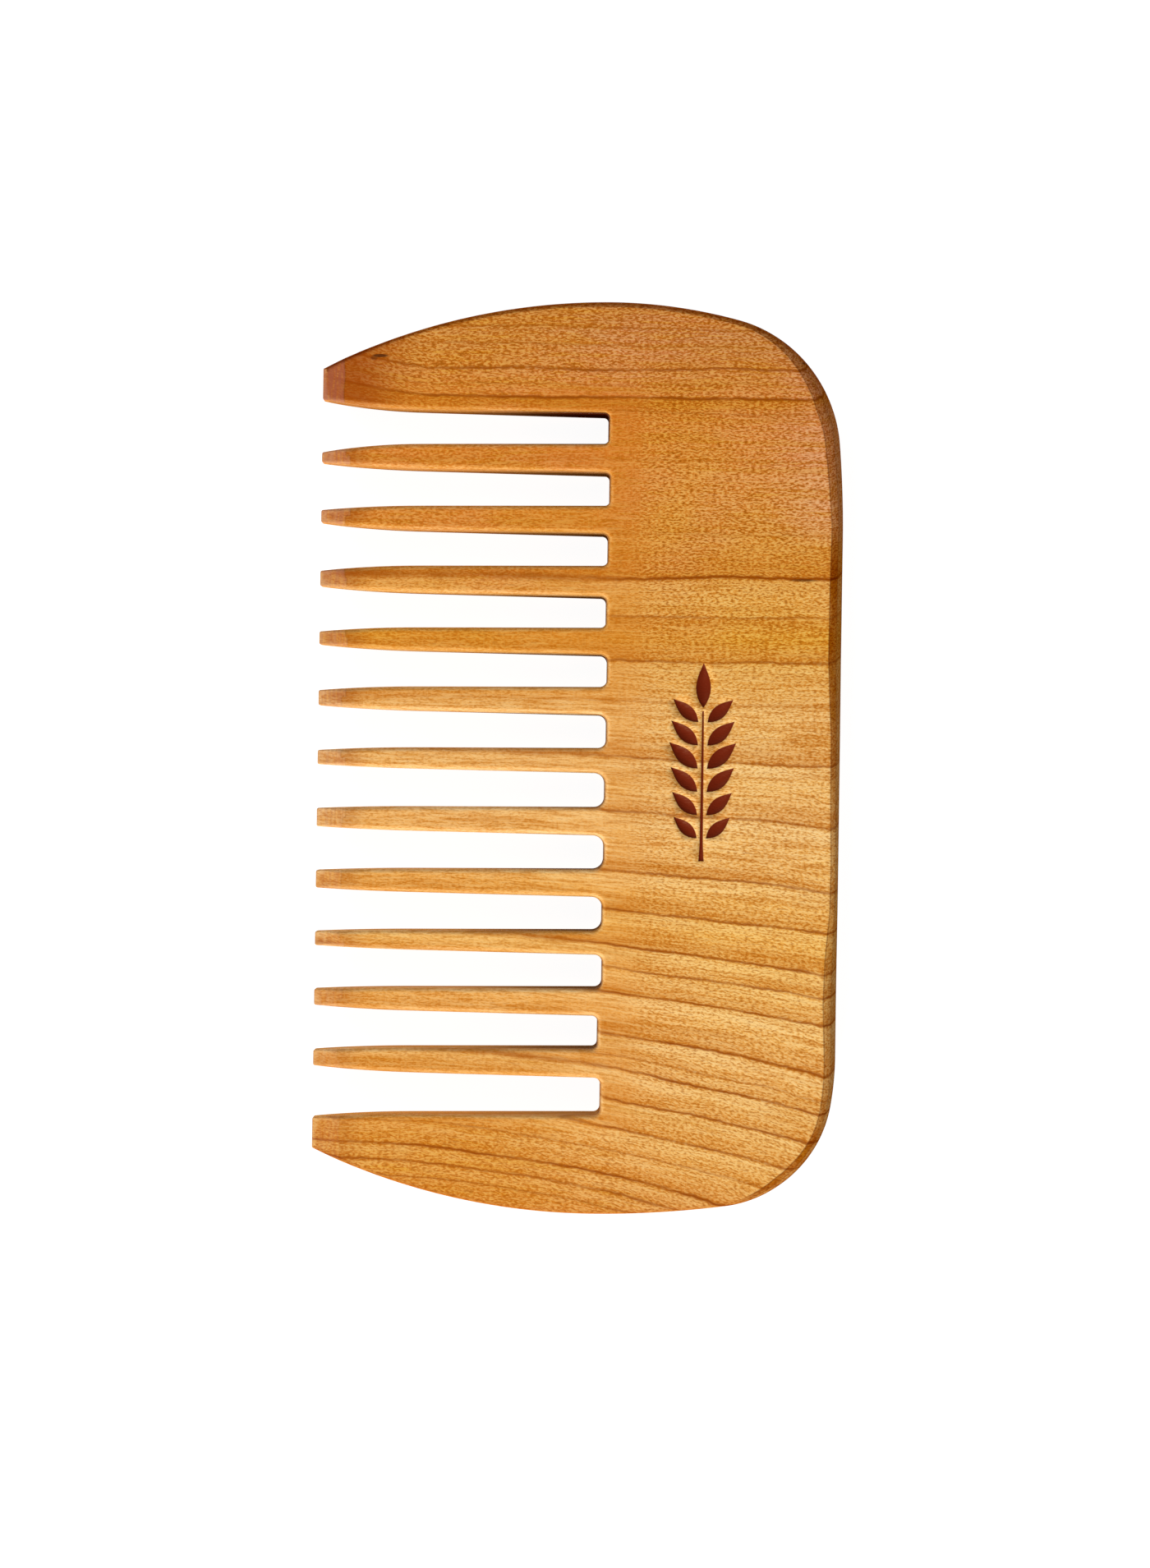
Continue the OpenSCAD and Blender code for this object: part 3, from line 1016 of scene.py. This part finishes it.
def bevel_tone_and_shade(g, wood, spot, edge_distance, bevel_width):
    """Darkens the sanded bevel, partly as its own darker tone and partly as painted shade, paints a thin
    line of shade at each crease and along the outer edge, and paints shade on the rims at both ends.
    """
    patchy = g.change("bevel evenness", g.pattern("bevel patches", spot.place))
    below = g.largest(g.change("bevel below", spot.y), g.change("bevel of lower corner", spot.y))
    from_crease = g.math("MULTIPLY_ADD", bevel_width, FLAT_SHARE - 1, edge_distance)
    # The bevel's darkening is partly the sanded wood's own tone and partly painted shade
    darker = g.product(patchy, g.product(g.change("bevel above", spot.y), below))
    darker = g.product(darker, g.change("flatter facet", from_crease))
    on_bevel = g.change("on bevel", g.math("SUBTRACT", bevel_width, edge_distance))
    full_bevel = g.change("full bevel", bevel_width)
    wood = g.tinted(wood, g.product(on_bevel, g.product(full_bevel, darker)), BEVEL_TONE_AND_SHADE, "MULTIPLY")

    # Painted shade in thin dark lines at the creases and along the outer edge
    inner = g.change("inner crease", g.magnitude(g.math("SUBTRACT", edge_distance, bevel_width)))
    outer = g.change("outer crease", g.magnitude(from_crease))
    lines = g.largest(inner, outer, g.change("outer edge", edge_distance))
    wood = g.tinted(wood, g.product(lines, g.product(full_bevel, patchy)), CREASE_SHADE_COLOUR)

    # Painted shade on the rims at the upper and lower ends
    rim = g.product(g.change("rim", edge_distance), g.change("any bevel", bevel_width))
    shaded_ends = g.largest(g.change("upper rim", spot.y), g.change("lower rim", spot.y))
    return g.tinted(wood, g.product(rim, shaded_ends), BEVEL_TONE_AND_SHADE, "MULTIPLY")


def edge_colours(g, wood, spot):
    """Colours the bevel and the end grain, pales the rounded edges along the gaps, partly as wear and
    partly as a painted highlight, and paints shade on their walls and steep edges.
    """
    edge_distance, bevel_width = g.attribute("edge_distance"), g.attribute("bevel_width")
    wood = bevel_tone_and_shade(g, wood, spot, edge_distance, bevel_width)
    # Paler rounded edges along the gaps: partly wear, partly a painted highlight
    worn = g.product(g.change("worn edge", edge_distance), g.change("little bevel", bevel_width))
    wood = g.paler(wood, worn)
    wood = g.tinted(wood, g.change("end grain", spot.facing_x), END_GRAIN_COLOUR)
    # Painted shade on the steep edges and walls in the gaps, deepest at the roots and in the uppermost gap
    steep = g.product(g.change("steep", spot.facing_z), g.change("no bevel", bevel_width))
    gap_shade = g.product(steep, g.math("POWER", painted_gap_shade(g, spot), GAP_SHADE_POWER))
    return g.tinted(wood, g.product(gap_shade, GAP_SHADE_SHARE), GAP_SHADE_COLOUR)


def tip_colours(g, wood, spot):
    """The worn bevel of the tips, scratched and strongest at the upper teeth, a stain beside it, and a thin
    line of painted shade where it starts.
    """
    run = g.attribute("tip_run")
    worn = g.math("ADD", g.change("worn tips above", spot.y), g.change("worn end tip", spot.y))
    worn = g.product(worn, g.change("cleaner sides", spot.facing_y))
    scratches = g.change("tip evenness", g.pattern("tip scratches", spot.place))
    wood = g.tinted(wood, g.product(g.change("on tip bevel", run), worn, scratches), TIP_COLOUR)

    stain_run = g.product(run, g.change("longer end stain", spot.y))
    beside = g.largest(g.change("off tip bevel", run), g.change("stain on end bevel", spot.y))
    stain = g.product(g.change("stain run", stain_run), beside, g.product(worn, STAIN_SHARE))
    wood = g.tinted(wood, stain, STAIN_COLOUR)
    # Painted shade in a thin line where the bevel of a tip starts
    return g.tinted(wood, g.product(g.change("tip line", g.magnitude(run)), worn), CREASE_SHADE_COLOUR)


def wood_shader(g, spot, group, sawn):
    """Colour, relief and roughness of the wood."""
    across, grain, long_grain = grain_places(g, spot)
    line, shade, pale_wood = growth_rings(g, spot, across, group)
    flecks = g.pattern("flecks", grain)
    threads = g.pattern("threads", long_grain)
    crisp = crispness(g, spot)

    wood = broad_tones(g, heart_and_sap(g, across), spot)
    wood = g.tinted(wood, g.change("streak share", g.pattern("streaks", long_grain)), STREAK_COLOUR)
    wood = g.tinted(wood, g.change("dark threads", threads), STREAK_COLOUR)
    wood = g.tinted(wood, shade, RING_SHADE)
    wood = g.tinted(wood, handled(g, spot), STREAK_COLOUR)
    light = g.product(g.change("pale flecks", flecks), crisp, PALE_FLECKS)
    light = g.largest(light, g.change("pale threads", threads))
    light = g.largest(light, g.change("pale scratches", g.pattern("sanding", spot.place)))
    light = g.math("ADD", light, g.product(pale_wood, PALE_RINGS), clamp=True)
    wood = g.paler(wood, light)
    wood = g.tinted(wood, line, RING_COLOUR)
    wood = g.tinted(wood, g.product(g.change("dark flecks", flecks), crisp), FLECK_COLOUR)
    wood = tip_colours(g, wood, spot)
    wood = g.tinted(wood, dark_marks(g, spot), KNOT_COLOUR)
    wood = edge_colours(g, wood, spot)
    wood = g.tinted(wood, g.attribute("burn"), BURN_COLOUR)

    relief = g.math("MULTIPLY_ADD", line, RING_RELIEF, flecks)
    if not sawn:
        return wood, relief, g.change("roughness", flecks)
    # The sawn walls: rough, marked by the blade, and darkened with painted shade that the saw marks make
    # uneven
    saw_marks = g.pattern("saw marks", spot.place)
    gap_shade = g.product(painted_gap_shade(g, spot), g.change("gap shade evenness", saw_marks))
    return g.tinted(wood, gap_shade, GAP_SHADE_COLOUR), g.math("ADD", relief, saw_marks), SAWN_ROUGHNESS


def wood_material(name, group, sheen=0.0, sawn=False):
    """Oiled, pale hardwood. The walls of the gaps are sawn: duller and marked by the blade, and darker with
    painted shade.
    """
    material = bpy.data.materials.new(name)
    material.use_nodes = True
    tree = material.node_tree
    tree.nodes.clear()
    g = Graph(tree)
    wood, relief, roughness = wood_shader(g, spot_on_comb(g), group, sawn)
    bump = g.add("ShaderNodeBump", {"Strength": RELIEF, "Distance": RELIEF_DEPTH, "Height": relief})
    shader = g.add(
        "ShaderNodeBsdfPrincipled",
        {
            "Base Color": wood,
            "Roughness": roughness,
            "Normal": bump.outputs[0],
            "Specular IOR Level": sheen,
            "Specular Tint": SHEEN_TINT,
        },
    )
    output = tree.nodes.new("ShaderNodeOutputMaterial")
    tree.links.new(shader.outputs[0], output.inputs[0])
    return material


def add_finishes(comb):
    """Gives the comb its materials, in the order of SATIN, SANDED and SAWN."""
    group = ring_group()
    comb.data.materials.append(wood_material("satin_fruitwood", group, sheen=SATIN_SHEEN))
    comb.data.materials.append(wood_material("sanded_fruitwood", group))
    comb.data.materials.append(wood_material("sawn_fruitwood", group, sawn=True))


def make_floor():
    """A white floor that is lit a little from itself, so that only a faint shadow shows."""
    mesh = bpy.data.meshes.new("floor")
    corners = [(x * FLOOR_HALF, y * FLOOR_HALF, 0) for x, y in ((-1, -1), (1, -1), (1, 1), (-1, 1))]
    mesh.from_pydata(corners, [], [(0, 1, 2, 3)])
    floor = bpy.data.objects.new("floor", mesh)
    floor.location.z = LOW.z * MM - FLOOR_BELOW
    bpy.context.scene.collection.objects.link(floor)
    material = bpy.data.materials.new("floor_white")
    material.use_nodes = True
    shader = material.node_tree.nodes["Principled BSDF"]
    shader.inputs["Base Color"].default_value = (FLOOR_GREY, FLOOR_GREY, FLOOR_GREY, 1)
    shader.inputs["Roughness"].default_value = FLOOR_ROUGHNESS
    shader.inputs["Specular IOR Level"].default_value = 0.0
    shader.inputs["Emission Color"].default_value = WHITE
    shader.inputs["Emission Strength"].default_value = FLOOR_GLOW
    mesh.materials.append(material)


def make_lamp(name, place, size, power):
    """A square lamp that points at the comb."""
    data = bpy.data.lights.new(name, "AREA")
    data.size = size
    data.energy = power
    lamp = bpy.data.objects.new(name, data)
    lamp.location = place
    lamp.rotation_euler = (-Vector(place)).to_track_quat("-Z", "Y").to_euler()
    bpy.context.scene.collection.objects.link(lamp)


def make_lights():
    for row in LAMPS:
        make_lamp(*row)
    world = bpy.data.worlds.new("studio")
    bpy.context.scene.world = world
    world.use_nodes = True
    background = world.node_tree.nodes["Background"]
    background.inputs["Color"].default_value = WHITE
    background.inputs["Strength"].default_value = STUDIO_LIGHT


def make_camera():
    """Looks straight down on the comb, placed so that the comb lands on its pixels in the photograph."""
    right = Vector((math.cos(COMB_TURN), math.sin(COMB_TURN), 0))
    up = Vector((-math.sin(COMB_TURN), math.cos(COMB_TURN), 0))
    shift_right = (FRAME_CENTRE_PX[0] - COMB_CENTRE_PX[0]) / PX_PER_MM
    shift_up = (COMB_CENTRE_PX[1] - FRAME_CENTRE_PX[1]) / PX_PER_MM
    height = LOW.z + THICKNESS / 2 + CAMERA_ABOVE
    data = bpy.data.cameras.new("camera")
    data.sensor_width = SENSOR
    data.lens = SENSOR * PX_PER_MM * CAMERA_ABOVE / FRAME_HEIGHT_PX
    data.clip_start = 0.01
    data.clip_end = 10
    camera = bpy.data.objects.new("camera", data)
    camera.location = (right * shift_right + up * shift_up + Vector((0, 0, height))) * MM
    camera.rotation_euler = (0, 0, COMB_TURN)
    bpy.context.scene.collection.objects.link(camera)
    bpy.context.scene.camera = camera


make_camera()
make_lights()
make_floor()
comb = make_comb()
add_finishes(comb)
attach(comb, "root")
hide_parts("comb")
bpy.context.scene.view_settings.view_transform = "Standard"
